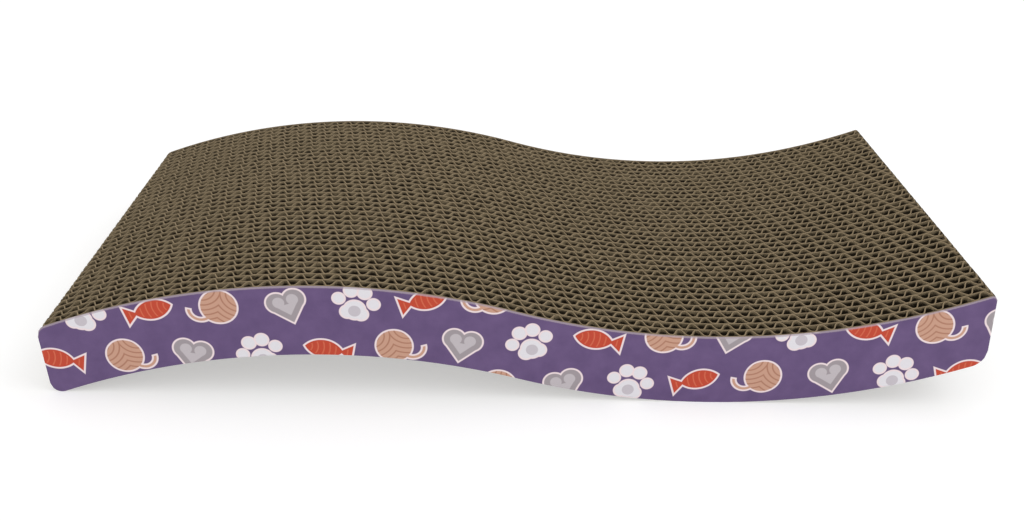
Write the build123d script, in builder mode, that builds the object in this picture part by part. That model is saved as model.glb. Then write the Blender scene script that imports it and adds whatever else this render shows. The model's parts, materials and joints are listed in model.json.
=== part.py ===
from build123d import *

import os
from math import asin, atan2, ceil, cos, degrees, pi, sin, sqrt

# A wavy cat scratcher: strips of fluted board glued face to face and faced with printed sheets.
# It stands on the floor at z = 0 with the crest on the left, +X along it and +Y to its back.

# Driving dimensions in millimetres
length = 450.0  # end to end along the wave
cut_height = 37.0  # straight up from the bottom cut to the top cut
wave_rise = 18.0  # how far each arc bulges from the line through its ends
heel_radius = 5.0  # rounding of the lower corner under the crest
toe_radius = 9.0  # rounding of the lower corner past the belly
shoulder_radius = 6.0  # rounding of the upper corner before the crest
rim_radius = 2.0  # rounding of the upper corner past the dip
board_count = 37
board_thickness = 6.0  # liner, medium and flutes of one strip
root_wall = 0.9  # paper behind a flute, liner and medium together
flute_pitch = 8.4
flutes_per_groove = 2  # neighbouring flutes that one groove stands for
flute_step = -1.1  # how far the flutes of a strip lie from those of the strip in front
liner_thickness = 0.5  # plain sheet that closes the flutes of the rearmost strip
cover_thickness = 0.5  # printed sheets on the two long sides
heel_cuts = 3  # straight cuts that round each corner of a strip
toe_cuts = 2
shoulder_cuts = 2
rim_cuts = 1

half_length = length / 2
quarter = length / 4
half_height = cut_height / 2
groove_pitch = flute_pitch * flutes_per_groove
groove_count = ceil(length / groove_pitch) + 1
total_width = 2 * cover_thickness + board_count * board_thickness + liner_thickness

# Centres of the arch and belly arcs, about the middle of the wave
arc_radius = (quarter**2 + wave_rise**2) / (2 * wave_rise)
arch = Vector(-quarter, wave_rise - half_height - arc_radius)
belly = Vector(quarter, -arch.Y - cut_height)


def heel_center(radius):
    """Centre of a rounding that touches the left end and the arch from outside its circle."""
    inset = quarter - radius
    return arch + (-inset, sqrt((arc_radius + radius) ** 2 - inset**2))


def toe_center(radius):
    """Centre of a rounding that touches the right end and the belly from inside its circle."""
    inset = quarter - radius
    return belly + (inset, -sqrt((arc_radius - radius) ** 2 - inset**2))


def bearing(vector):
    """Direction of a vector, counter-clockwise from +X, in radians."""
    return atan2(vector.Y, vector.X)


def wave_outline():
    """Side outline of the sheets: a crest arc and a dip arc over an arch and a belly."""
    with BuildSketch() as outline:
        with BuildLine():
            top_crest = SagittaArc((-half_length, half_height), (0, half_height), wave_rise)
            top_dip = SagittaArc(top_crest @ 1, (half_length, half_height), -wave_rise)
            under_arch = SagittaArc((-half_length, -half_height), (0, -half_height), wave_rise)
            under_belly = SagittaArc(under_arch @ 1, (half_length, -half_height), -wave_rise)
            Line(top_crest @ 0, under_arch @ 0)
            Line(top_dip @ 1, under_belly @ 1)
        make_face()
        corners = ((0, 0, heel_radius), (-1, 0, toe_radius), (0, -1, shoulder_radius), (-1, -1, rim_radius))
        for side, level, radius in corners:
            end = outline.vertices().group_by(Axis.X)[side]
            fillet(end.sort_by(Axis.Y)[level], radius=radius)
    return outline.sketch


wave = wave_outline()
heel_to_belly = belly - heel_center(heel_radius)
tilt = asin((arc_radius - heel_radius) / heel_to_belly.length) - bearing(heel_to_belly)
standing = wave.rotate(Axis.Z, degrees(tilt)).bounding_box()
stand_x = -standing.center().X
stand_z = -standing.min.Y
along = (cos(tilt), 0, sin(tilt))
upward = (-sin(tilt), 0, cos(tilt))


def side_plane(y):
    """Upright plane at depth y that looks at the front, leaning with the standing wave."""
    return Plane(origin=(stand_x, y, stand_z), x_dir=along, z_dir=(0, -1, 0))


def plan_plane(y):
    """Plane across the strips, seen from above, with its origin at depth y."""
    return Plane(origin=(stand_x, y, stand_z), x_dir=along, z_dir=upward)


def flute_tips(number):
    """Places along a strip where its flutes touch the next strip, past both ends."""
    start = (number * flute_step) % groove_pitch - groove_pitch - half_length
    return [start + groove * groove_pitch for groove in range(groove_count + 1)]


def fluted_section(tips):
    """Plan of a strip: its flat liner at the front and a V groove between each two tips."""
    points = [(tips[-1], 0), (tips[0], 0), (tips[0], board_thickness)]
    for tip in tips[1:]:
        points.append((tip - groove_pitch / 2, root_wall))
        points.append((tip, board_thickness))
    return points


def lower_point(x):
    """Point of the lower cut at x, on the arch or on the belly."""
    bulge = sqrt(arc_radius**2 - (abs(x) - quarter) ** 2) - arc_radius + wave_rise
    return Vector(x, bulge - half_height if x < 0 else -bulge - half_height)


def rounded_corner(center, radius, start, stop, cuts):
    """Points of a corner that straight cuts round off, from one direction to another."""
    turns = [start + (stop - start) * cut / cuts for cut in range(cuts + 1)]
    return [center + (radius * cos(turn), radius * sin(turn)) for turn in turns]


def lower_edge(tips, left_radius, left_cuts, right_radius, right_cuts):
    """Points from end to end along the lower cut, straight from flute to flute between its corners."""
    left_center, right_center = heel_center(left_radius), toe_center(right_radius)
    left_stop = bearing(arch - left_center) + 2 * pi
    left = rounded_corner(left_center, left_radius, pi, left_stop, left_cuts)
    right_start = bearing(right_center - belly)
    right = rounded_corner(right_center, right_radius, right_start, 0, right_cuts)
    spare = groove_pitch / 8
    between = [tip for tip in tips if left[-1].X + spare < tip < right[0].X - spare]
    return left + [lower_point(tip) for tip in between] + right


def strip_outline(tips):
    """Side outline of a strip: its lower edge, and an upper edge that is a lower one turned half round."""
    lower = lower_edge(tips, heel_radius, heel_cuts, toe_radius, toe_cuts)
    turned = [-tip for tip in reversed(tips)]
    upper = lower_edge(turned, rim_radius, rim_cuts, shoulder_radius, shoulder_cuts)
    return lower + [-point for point in upper]


os.makedirs("parts", exist_ok=True)


def make_sheet(name, y, thickness):
    """Flat sheet cut to the wave, with its front face at depth y."""
    with BuildPart() as sheet:
        with BuildSketch(side_plane(y)):
            add(wave)
        extrude(amount=-thickness)
    sheet.part.label = name
    export_step(sheet.part, f"parts/{name}.step")


def make_board(name, y, number):
    """Strip of fluted board: the fluted section carried straight up, cut to the wave."""
    tips = flute_tips(number)
    with BuildPart() as board:
        with BuildSketch(plan_plane(y)):
            with BuildLine():
                Polyline(fluted_section(tips), close=True)
            make_face()
        extrude(amount=cut_height + wave_rise, both=True)
        with BuildSketch(side_plane(y)):
            with BuildLine():
                Polyline(strip_outline(tips), close=True)
            make_face()
        extrude(amount=-board_thickness, mode=Mode.INTERSECT)
    board.part.label = name
    export_step(board.part, f"parts/{name}.step")


front_y = -total_width / 2
boards_y = front_y + cover_thickness
liner_y = boards_y + board_count * board_thickness

make_sheet("front_cover", front_y, cover_thickness)
for number in range(board_count):
    make_board(f"board_{number + 1:02d}", boards_y + number * board_thickness, number)
make_sheet("back_liner", liner_y, liner_thickness)
make_sheet("back_cover", liner_y + liner_thickness, cover_thickness)

print(f"resting tilt {degrees(tilt):.3f} degrees, total width {total_width:.2f} mm")
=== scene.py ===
import json
from math import asin, atan2, cos, hypot, pi, radians, sin, sqrt

import bpy
import numpy as np
from mathutils import Matrix, Vector


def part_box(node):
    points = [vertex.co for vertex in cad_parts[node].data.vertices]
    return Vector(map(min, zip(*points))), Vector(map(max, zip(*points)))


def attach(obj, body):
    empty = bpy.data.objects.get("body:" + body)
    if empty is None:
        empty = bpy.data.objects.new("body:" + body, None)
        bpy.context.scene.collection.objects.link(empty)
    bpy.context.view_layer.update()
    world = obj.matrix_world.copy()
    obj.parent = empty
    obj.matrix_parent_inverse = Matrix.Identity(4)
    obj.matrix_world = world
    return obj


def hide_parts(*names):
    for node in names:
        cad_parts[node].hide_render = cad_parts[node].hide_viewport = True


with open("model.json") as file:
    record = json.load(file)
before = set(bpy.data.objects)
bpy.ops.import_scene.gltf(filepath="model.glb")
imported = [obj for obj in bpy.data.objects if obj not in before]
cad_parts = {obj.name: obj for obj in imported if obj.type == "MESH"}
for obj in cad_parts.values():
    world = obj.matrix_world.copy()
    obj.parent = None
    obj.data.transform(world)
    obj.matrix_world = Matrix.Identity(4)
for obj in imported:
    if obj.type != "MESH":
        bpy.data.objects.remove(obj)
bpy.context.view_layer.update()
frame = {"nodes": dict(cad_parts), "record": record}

# Looks of a wavy cardboard cat scratcher. Every strip of board is made of paper, a flat liner with
# a fluted medium on it, and the two long sides carry printed sheets. Sizes are in metres.

chance = np.random.default_rng(37)

# The wave that every strip and sheet is cut to
length = 0.450
cut_height = 0.037
wave_rise = 0.018
heel_corner = 0.005
toe_corner = 0.009
shoulder_corner = 0.006
rim_corner = 0.002

# The fluted board
liner_paper = 0.00060
medium_paper = 0.00055
flute_pitch = 0.0084
flute_step = -0.0011  # from the flutes of one strip to those of the strip behind it
step_error = 0.0003
flute_wander = 0.2  # radians that the flutes drift by, drawn at a few places along a strip
wander_places = 12
tip_flatness = 1.3
liner_fray = 0.00008
medium_fray = 0.00012
pressed_end = 0.0016
columns_per_flute = 24
column_crowding = 0.3
liner_columns = 240

# The printed sheets
ridge_height = 0.00004
soft_rim = 0.00012
columns_per_ridge = 8

half_length = length / 2
quarter = length / 4
half_cut = cut_height / 2
arc_radius = (quarter**2 + wave_rise**2) / (2 * wave_rise)
mounts = {mount["name"]: mount for mount in frame["record"]["mounts"]}
stand_x, _, stand_z = mounts["front_face"]["pos_m"]
boards = sorted(name for name in frame["nodes"] if name.startswith("board_"))


def resting_tilt():
    """Angle at which the rounded left heel and the belly of the wave touch one floor, in radians."""
    arch_z = wave_rise - half_cut - arc_radius
    heel_x = heel_corner - half_length
    heel_z = arch_z + sqrt((arc_radius + heel_corner) ** 2 - (heel_x + quarter) ** 2)
    along, up = quarter - heel_x, -arch_z - cut_height - heel_z
    return asin((arc_radius - heel_corner) / hypot(along, up)) - atan2(up, along)


tilt = resting_tilt()


def wave(x):
    """Height of the wave's middle line: an arc up on the left, the same arc down on the right."""
    swing = np.sqrt(arc_radius**2 - (np.abs(x) - quarter) ** 2) - (arc_radius - wave_rise)
    return np.where(x < 0, swing, -swing)


def upper_cut(x, left=shoulder_corner, right=rim_corner):
    """Height of the upper cut: the wave lifted by half the cut, with both ends rounded by circles.

    The left circle lies inside the crest's arc and the right one outside the dip's arc."""
    edge = half_cut + wave(x)
    inset = quarter - left
    level = half_cut + wave_rise - arc_radius + sqrt((arc_radius - left) ** 2 - inset**2)
    corner = level + np.sqrt(np.maximum(left**2 - (x + half_length - left) ** 2, 0))
    edge = np.where(x < -quarter - inset * arc_radius / (arc_radius - left), corner, edge)
    inset = quarter - right
    level = half_cut - wave_rise + arc_radius - sqrt((arc_radius + right) ** 2 - inset**2)
    corner = level + np.sqrt(np.maximum(right**2 - (x - half_length + right) ** 2, 0))
    return np.where(x > quarter + inset * arc_radius / (arc_radius + right), corner, edge)


def lower_cut(x):
    """Height of the lower cut: an upper cut with the corners of toe and heel, turned half round."""
    return -upper_cut(-x, toe_corner, heel_corner)


def standing(x, y, z):
    """Points of the wave's own frame, tilted and set down where the scratcher stands."""
    along = cos(tilt) * x - sin(tilt) * z + stand_x
    up = sin(tilt) * x + cos(tilt) * z + stand_z
    return np.stack([along, y + 0 * x, up], -1)


def upright_ribbon(front_x, front_y, back_x, back_y, trim=0.0):
    """Loops of four corners along a sheet of paper that stands on edge.

    The front and back lines give the paper's two faces in plan. Each is carried from the lower cut
    to the upper cut, less a trim at the top. A loop is front top, back top, back foot, front foot."""
    front_x = np.clip(front_x, -half_length, half_length)
    back_x = np.clip(back_x, -half_length, half_length)
    return np.stack([
        standing(front_x, front_y, upper_cut(front_x) - trim),
        standing(back_x, back_y, upper_cut(back_x) - trim),
        standing(back_x, back_y, lower_cut(back_x)),
        standing(front_x, front_y, lower_cut(front_x)),
    ], 1)


def flat_sheet(y, thickness, columns, trim=0.0):
    """Ribbon with two flat faces, its front face at y."""
    x = np.linspace(-half_length, half_length, columns)
    return upright_ribbon(x, y + 0 * x, x, y + thickness + 0 * x, trim)


def fluted_ribbon(front_y, back_y, shift):
    """The medium: a sheet of paper bent into flutes between two planes.

    Its middle line swings as tanh(f sin t) / tanh(f), where t = 2 pi (x - shift) / pitch less a slow
    wander and f flattens the glued tips. Each face lies half the paper's thickness from that line
    along its normal. The columns crowd where the paper bends most. The cut has pressed the loose
    edge at either end flat across the strip."""
    reach = half_length - pressed_end
    start, stop = (2 * pi * (end - shift) / flute_pitch for end in (-reach, reach))
    turn = np.linspace(start, stop, round(columns_per_flute * length / flute_pitch))
    x = shift + (turn + column_crowding * np.sin(2 * turn)) * flute_pitch / (2 * pi)
    x = x[np.abs(x) < reach]
    places = np.linspace(-half_length, half_length, wander_places)
    wander = np.interp(x, places, chance.normal(0, flute_wander, wander_places))
    turn = 2 * pi * (x - shift) / flute_pitch - wander
    y = np.tanh(tip_flatness * np.sin(turn)) / np.tanh(tip_flatness)
    edge_x = half_length - np.array([0.00110, 0.00060, 0.00032, 0.00022, 0.00022, 0.00022, 0.00022])
    edge_y = np.array([0.90, 1.00, 0.95, 0.80, 0.30, -0.40, -1.00])
    x = np.concatenate([-edge_x[::-1], x, edge_x])
    y = np.concatenate([edge_y[::-1], y, edge_y])
    y = (front_y + back_y) / 2 + y * (back_y - front_y - medium_paper) / 2
    run, rise = np.gradient(x), np.gradient(y)
    normal_x, normal_y = -rise / np.hypot(run, rise), run / np.hypot(run, rise)
    half = medium_paper / 2
    trim = np.abs(chance.normal(0, medium_fray, len(x)))
    front_line = (x - half * normal_x, np.clip(y - half * normal_y, front_y, back_y))
    back_line = (x + half * normal_x, np.clip(y + half * normal_y, front_y, back_y))
    return upright_ribbon(*front_line, *back_line, trim)


def printed_sheet(y, thickness, outward):
    """Loops across a printed sheet and the depth of each point below the upper cut, in mm.

    The printed face swells a little over every flute and rounds off at its rims; outward is -1
    where that face looks to the front and 1 where it looks to the back."""
    columns = round(columns_per_ridge * length / flute_pitch) + 1
    x = np.linspace(-half_length, half_length, columns)[:, None]
    rows = np.array([0, 0.004, 0.012, 0.03, 0.1, 0.25, 0.5, 0.75, 0.9, 0.97, 0.988, 0.996, 1])
    top, foot = upper_cut(x), lower_cut(x)
    z = top + (foot - top) * rows
    rim = np.minimum(np.minimum(top - z, z - foot), half_length - np.abs(x))
    hollow = ridge_height * (0.5 - 0.5 * np.cos(2 * pi * x / flute_pitch))
    hollow = hollow + soft_rim * np.exp(-rim / soft_rim)
    face_y, rear_y = (y + thickness, y) if outward > 0 else (y, y + thickness)
    printed = standing(x + 0 * z, face_y - outward * hollow, z)
    ends = z[:, [0, -1]]
    plain = standing(x + 0 * ends, rear_y + 0 * ends, ends)
    loops = np.concatenate([plain[:, :1], printed, plain[:, 1:]], 1)
    depth = np.pad(top - z, ((0, 0), (1, 1)), "edge")
    if outward < 0:
        loops, depth = loops[:, ::-1], depth[:, ::-1]
    return loops, depth.ravel() * 1000


def flute_depths(loops):
    """Depth of each corner of an upright ribbon below its top, in mm, and zero near its ends."""
    depth = np.linalg.norm(loops - loops[:, [0, 1, 1, 0]], axis=-1)
    near_end = 0.003
    ends = np.abs(loops[:, :1, 0] - stand_x) > half_length - near_end
    return np.where(ends, 0, depth).ravel() * 1000


def skin(loops):
    """Quads over a row of loops and a cap at each end, all facing outwards."""
    sections, corners = loops.shape[:2]
    here = np.arange(sections - 1)[:, None] * corners + np.arange(corners)
    beside = np.arange(sections - 1)[:, None] * corners + (np.arange(corners) + 1) % corners
    sides = np.stack([here + corners, beside + corners, beside, here], -1).reshape(-1, 4)
    first = np.arange(corners)
    last = (sections - 1) * corners + first[::-1]
    return sides, np.stack([first, last])


def make_piece(name, ribbons, finish, slot, **tones):
    """One mesh of several ribbons that stands for the CAD node of the same name.

    Its tones are values at every point, which its finish reads by their names."""
    faces, start = [], 0
    for loops in ribbons:
        faces += [part + start for part in skin(loops)]
        start += loops.shape[0] * loops.shape[1]
    points = np.concatenate([loops.reshape(-1, 3) for loops in ribbons])
    corners = np.concatenate([part.ravel() for part in faces])
    sizes = np.concatenate([np.full(len(part), part.shape[1]) for part in faces])
    mesh = bpy.data.meshes.new(name + "_paper")
    mesh.vertices.add(len(points))
    mesh.vertices.foreach_set("co", points.ravel())
    mesh.loops.add(len(corners))
    mesh.loops.foreach_set("vertex_index", corners.astype(np.int32))
    mesh.polygons.add(len(sizes))
    mesh.polygons.foreach_set("loop_start", (np.cumsum(sizes) - sizes).astype(np.int32))
    mesh.update(calc_edges=True)
    mesh.set_sharp_from_angle(angle=radians(40))
    for label, values in tones.items():
        tone = mesh.attributes.new(label, "FLOAT", "POINT")
        tone.data.foreach_set("value", values.astype(np.float32))
    mesh.materials.append(finish)
    piece = bpy.data.objects.new(name + "_paper", mesh)
    bpy.context.scene.collection.objects.link(piece)
    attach(piece, "root")
    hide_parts(name)


class Value:
    """A node's output that takes part in Python arithmetic: each operation adds a Math node."""

    def __init__(self, finish, socket):
        self.finish = finish
        self.socket = socket

    def __add__(self, other):
        return self.finish.math("ADD", self, other)

    def __sub__(self, other):
        return self.finish.math("SUBTRACT", self, other)

    def __rsub__(self, other):
        return self.finish.math("SUBTRACT", other, self)

    def __mul__(self, other):
        return self.finish.math("MULTIPLY", self, other)

    def __truediv__(self, other):
        return self.finish.math("DIVIDE", self, other)

    def __mod__(self, other):
        return self.finish.math("FLOORED_MODULO", self, other)

    def __floordiv__(self, other):
        return self.finish.math("FLOOR", self / other)

    def __abs__(self):
        return self.finish.math("ABSOLUTE", self)

    __radd__ = __add__
    __rmul__ = __mul__


class Finish:
    """A procedural material: a Principled shader and the nodes that feed it."""

    def __init__(self, name, **constants):
        self.material = bpy.data.materials.new(name)
        self.material.use_nodes = True
        self.tree = self.material.node_tree
        self.shader = self.tree.nodes["Principled BSDF"]
        for socket, value in constants.items():
            self.shader.inputs[socket.replace("_", " ")].default_value = value

    def put(self, socket, value):
        """Links a Value to a socket, or sets the socket to a number or a colour."""
        if isinstance(value, Value):
            self.tree.links.new(value.socket, socket)
        else:
            socket.default_value = value

    def node(self, kind, settings, inputs, output=0):
        """Adds a node, sets its settings and then its inputs, and gives one of its outputs."""
        made = self.tree.nodes.new("ShaderNode" + kind)
        for key, value in settings.items():
            setattr(made, key, value)
        for key, value in inputs.items():
            self.put(made.inputs[key], value)
        return Value(self, made.outputs[output])

    def math(self, operation, *values):
        """One Math node on values and numbers."""
        return self.node("Math", {"operation": operation}, dict(enumerate(values)))

    def least(self, first, *others):
        """The smallest value; of signed distances, all the shapes together."""
        for other in others:
            first = self.math("MINIMUM", first, other)
        return first

    def most(self, first, *others):
        """The largest value; of signed distances, what the shapes share."""
        for other in others:
            first = self.math("MAXIMUM", first, other)
        return first

    def inside(self, distance, softness):
        """1 where a signed distance is below zero, 0 outside, with a soft edge."""
        return self.node("Math", {"operation": "MULTIPLY_ADD", "use_clamp": True},
                         {0: distance, 1: -1 / softness, 2: 0.5})

    def mix(self, factor, first, second):
        """A colour that goes from the first to the second as the factor goes from 0 to 1."""
        return self.node("Mix", {"data_type": "RGBA"}, {0: factor, 6: first, 7: second}, 2)

    def noise(self, at, scale, detail=2.0):
        """Smooth noise around one half."""
        return self.node("TexNoise", {}, {"Vector": at, "Scale": scale, "Detail": detail})

    def stretched(self, at, factors):
        """A place with each axis multiplied by its factor."""
        return self.node("VectorMath", {"operation": "MULTIPLY"}, {0: at, 1: factors})

    def spot(self, at, centre, radius):
        """Signed distance to a round spot."""
        reach = self.node("VectorMath", {"operation": "DISTANCE"}, {0: at, 1: (*centre, 0)}, "Value")
        return reach - radius

    def bump(self, height, distance, strength):
        """A normal that leans as if the surface rose by the height times the distance."""
        return self.node("Bump", {}, {"Height": height, "Distance": distance, "Strength": strength})

    def feed(self, **sockets):
        """Links values to the shader's sockets, named with _ for a space."""
        for socket, value in sockets.items():
            self.put(self.shader.inputs[socket.replace("_", " ")], value)


def ink(red, green, blue):
    """A screen colour of 0 to 255 a channel as linear light."""
    channel = np.array([red, green, blue]) / 255
    linear = np.where(channel <= 0.04045, channel / 12.92, ((channel + 0.055) / 1.055) ** 2.4)
    return (*linear.tolist(), 1.0)


def kraft_finish():
    """Raw brown paper: grain at two sizes and stray dark fibres, duller where it is cut.

    Painted shade darkens it down the flutes, standing in for the shade that falls inside them, over a
    fade in mm that starts deeper in some mouths than in others and never reaches the cut."""
    kraft = Finish("kraft paper", Specular_IOR_Level=0.15)
    place = kraft.node("TexCoord", {}, {}, "Object")
    normal = kraft.node("TexCoord", {}, {}, "Normal")
    depth = kraft.node("Attribute", {"attribute_name": "depth"}, {}, "Fac")
    upward = kraft.node("SeparateXYZ", {}, {0: normal}, "Z")
    cut = kraft.inside(0.6 - abs(upward), 0.2)
    depth = kraft.least(depth, cut_height * 1000 - depth)
    patches = kraft.noise(place, 45.0)
    strips = kraft.noise(kraft.stretched(place, (6.0, 170.0, 6.0)), 1.0)
    grain = kraft.noise(place, 1400.0, 4.0)
    fibres = kraft.noise(kraft.stretched(place, (250.0, 2600.0, 900.0)), 1.0, 3.0)
    shade = patches * 0.5 + grain * 0.5
    colour = kraft.mix(shade, ink(122, 109, 84), ink(164, 147, 118))
    colour = kraft.mix(kraft.inside(fibres - 0.36, 0.06) * 0.4, colour, ink(80, 66, 48))
    colour = kraft.mix(cut * 0.8, colour, ink(138, 120, 94))
    colour = kraft.mix(strips * 0.16, colour, ink(78, 66, 50))
    # Painted shade: near-black brown mixed in with depth below the cut, for the shade down the flutes
    fade = 1.3
    shade_onset = kraft.most(kraft.noise(place, 320.0) * 6.4 - 2.1, fade / 2)
    hollow = kraft.inside(shade_onset - depth, fade)
    colour = kraft.mix(hollow * 0.92, colour, ink(34, 27, 19))
    kraft.feed(Base_Color=colour, Roughness=grain * 0.15 + 0.8,
               Normal=kraft.bump(grain, 0.00006, 0.5))
    return kraft.material


def printed_finish():
    """Purple paper printed with paws, fish, balls of yarn and hearts, rubbed pale along its upper rim.

    The motifs lie in a brick pattern of cells on the flat sheet, in mm along and across it. Each is a
    signed distance to spots, straight edges and rings, with a pale outline round its fill."""
    paper = Finish("printed paper", Specular_IOR_Level=0.3)
    place = paper.node("TexCoord", {}, {}, "Object")
    normal = paper.node("TexCoord", {}, {}, "Normal")
    depth = paper.node("Attribute", {"attribute_name": "depth"}, {}, "Fac")
    facing = abs(paper.node("SeparateXYZ", {}, {0: normal}, "Y"))
    x, y, z = (paper.node("SeparateXYZ", {}, {0: place}, axis) * 1000 for axis in "XYZ")
    x, z = x - stand_x * 1000, z - stand_z * 1000
    along = (z * sin(tilt) + x * cos(tilt)) * paper.math("SIGN", y) * -1
    across = z * cos(tilt) - x * sin(tilt)

    cell_width, cell_height, lean = 32.0, 24.5, radians(14)
    first_along, first_across = 10.0, 10.4
    outline, soft = 0.9, 0.25
    along, across = along + first_along, across + first_across
    row = across // cell_height
    along = along + row % 2 * (cell_width / 2)
    column = along // cell_width
    x = along - column * cell_width - cell_width / 2
    y = across - row * cell_height - cell_height / 2
    kind = (row * 2 + column) % 4
    flip = 1 - (row + column) % 2 * 2
    x, y = x * flip * cos(lean) + y * sin(lean), y * cos(lean) - x * flip * sin(lean)
    at = paper.node("CombineXYZ", {}, {0: x, 1: y})
    halved = paper.node("CombineXYZ", {}, {0: abs(x), 1: y})
    level = paper.node("CombineXYZ", {}, {0: x, 1: abs(y)})

    paw = paper.least(*(paper.spot(halved, (sx, sy), r) for sx, sy, r in
                        ((0.0, -3.8, 4.7), (3.2, -5.4, 3.0), (8.2, 0.9, 2.5), (3.2, 6.0, 2.8))))
    pad = paper.spot(halved, (0.0, -4.4), 2.9)
    tail = paper.most((abs(y) + (x + 6.0) * 0.75) * 0.8, x * -1 - 12.0)
    fish = paper.least(paper.spot(level, (1.5, -6.2), 11.0), tail)
    scales = abs((paper.spot(at, (10.6, 0.0), 4.9) % 2.8) - 1.4) - 0.32
    yarn = paper.spot(at, (0.0, 0.6), 8.4)
    thread = paper.most(abs(paper.spot(at, (8.2, -2.6), 5.4)) - 0.65, y + 3.6)
    strands = abs((paper.spot(halved, (9.0, 9.0), 0.0) % 2.6) - 1.3) - 0.35
    point = paper.most(abs(x) * 0.744 - (y + 9.4) * 0.668, y + abs(x) * 0.2)
    heart = paper.least(paper.spot(halved, (4.1, 2.4), 5.0), point)
    inner_point = paper.most(abs(x) * 0.744 - (y + 5.4) * 0.668, y - 0.6)
    inner = paper.least(paper.spot(halved, (3.4, 2.4), 2.8), inner_point)

    grain = paper.noise(place, 2200.0, 3.0)
    blotches = paper.noise(place, 130.0)
    mottle = paper.inside(0.5 - blotches, 0.5) * 0.5 + grain * 0.5
    colour = paper.mix(mottle, ink(86, 65, 108), ink(110, 87, 131))
    ball = paper.least(yarn, thread)
    motifs = ((paw, ink(227, 224, 229), pad, ink(198, 191, 198)),
              (fish, ink(193, 66, 36), paper.most(scales, fish + 0.8), ink(208, 98, 66)),
              (ball, ink(200, 154, 131), paper.most(strands, yarn), ink(172, 121, 96)),
              (heart, ink(159, 150, 154), inner, ink(192, 184, 188)))
    for number, (shape, fill, detail, accent) in enumerate(motifs):
        chosen = paper.inside(abs(kind - number) - 0.5, 0.1)
        colour = paper.mix(chosen * paper.inside(shape - outline, soft), colour, ink(238, 220, 222))
        colour = paper.mix(chosen * paper.inside(shape, soft), colour, fill)
        colour = paper.mix(chosen * paper.inside(detail, soft), colour, accent)
    colour = paper.mix(grain * 0.12, colour, ink(60, 48, 70))
    rubbed = paper.inside(depth + grain * 0.6 - 1.15, 0.4)
    colour = paper.mix(rubbed * 0.7, colour, ink(168, 153, 162))
    colour = paper.mix(paper.inside(facing - 0.5, 0.2), colour, ink(124, 112, 110))
    paper.feed(Base_Color=colour, Roughness=grain * 0.1 + 0.5,
               Normal=paper.bump(grain, 0.00003, 0.4))
    return paper.material


kraft = kraft_finish()
printed = printed_finish()

for name, outward in (("front_cover", -1), ("back_cover", 1)):
    low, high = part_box(name)
    loops, depths = printed_sheet(low[1], high[1] - low[1], outward)
    make_piece(name, [loops], printed, "printed_paper", depth=depths)
# The depth below the top sets where the kraft paper's painted shade falls down the flutes
low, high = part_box("back_liner")
liner = flat_sheet(low[1], high[1] - low[1], liner_columns)
make_piece("back_liner", [liner], kraft, "kraft_board", depth=flute_depths(liner))
for number, board in enumerate(boards):
    low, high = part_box(board)
    trim = np.abs(chance.normal(0, liner_fray, liner_columns))
    liner = flat_sheet(low[1], liner_paper, liner_columns, trim)
    shift = number * flute_step + chance.normal(0, step_error)
    medium = fluted_ribbon(low[1] + liner_paper, high[1], shift)
    depths = np.concatenate([flute_depths(liner), flute_depths(medium)])
    make_piece(board, [liner, medium], kraft, "kraft_board", depth=depths)


def make_floor():
    """A plain pale floor, wide enough to fill the view."""
    reach = 6.0
    mesh = bpy.data.meshes.new("floor")
    corners = [(-reach, -reach, 0), (reach, -reach, 0), (reach, reach, 0), (-reach, reach, 0)]
    mesh.from_pydata(corners, [], [(0, 1, 2, 3)])
    paint = Finish("floor", Base_Color=(0.6, 0.6, 0.6, 1.0), Roughness=0.9, Specular_IOR_Level=0.0,
                   Emission_Color=(1.0, 1.0, 1.0, 1.0), Emission_Strength=0.46)
    mesh.materials.append(paint.material)
    floor = bpy.data.objects.new("floor", mesh)
    bpy.context.scene.collection.objects.link(floor)


def make_lamp(name, place, aim, width, power):
    """A square soft box that looks at a point."""
    lamp = bpy.data.lights.new(name, "AREA")
    lamp.size = width
    lamp.energy = power
    piece = bpy.data.objects.new(name, lamp)
    back = Vector(place) - Vector(aim)
    turned = back.to_track_quat("Z", "Y").to_matrix().to_4x4()
    piece.matrix_world = Matrix.Translation(place) @ turned
    bpy.context.scene.collection.objects.link(piece)


def make_sky(strength):
    """Even fill light, which the camera and reflections see as white."""
    world = bpy.data.worlds.new("studio")
    bpy.context.scene.world = world
    world.use_nodes = True
    tree = world.node_tree
    sky = tree.nodes["Background"]
    path = tree.nodes.new("ShaderNodeLightPath")
    seen = path.outputs["Is Camera Ray"]
    for ray in ("Is Glossy Ray", "Is Transmission Ray"):
        either = tree.nodes.new("ShaderNodeMath")
        either.operation = "MAXIMUM"
        tree.links.new(seen, either.inputs[0])
        tree.links.new(path.outputs[ray], either.inputs[1])
        seen = either.outputs[0]
    level = tree.nodes.new("ShaderNodeMapRange")
    tree.links.new(seen, level.inputs["Value"])
    level.inputs["To Min"].default_value = strength
    level.inputs["To Max"].default_value = 1.0
    tree.links.new(level.outputs[0], sky.inputs["Strength"])
    sky.inputs["Color"].default_value = (1.0, 1.0, 1.0, 1.0)


def make_camera():
    """The photograph's viewpoint, fitted to the edges of the wave: place, angles and lens."""
    place = (-0.01393, -0.55731, 0.30256)
    pitch_down, turn_right, roll = radians(26.98), radians(1.342), radians(1.711)
    lens = bpy.data.cameras.new("camera")
    lens.sensor_width = 36.0
    lens.lens = 38.576
    camera = bpy.data.objects.new("camera", lens)
    camera.matrix_world = (Matrix.Translation(place)
                           @ Matrix.Rotation(-turn_right, 4, "Z")
                           @ Matrix.Rotation(pi / 2 - pitch_down, 4, "X")
                           @ Matrix.Rotation(roll, 4, "Z"))
    bpy.context.scene.collection.objects.link(camera)
    bpy.context.scene.camera = camera


make_floor()
make_lamp("key", place=(1.1, -0.3, 1.2), aim=(0, 0, 0), width=1.2, power=6.0)
make_sky(strength=0.92)
make_camera()
bpy.context.scene.view_settings.view_transform = "Standard"
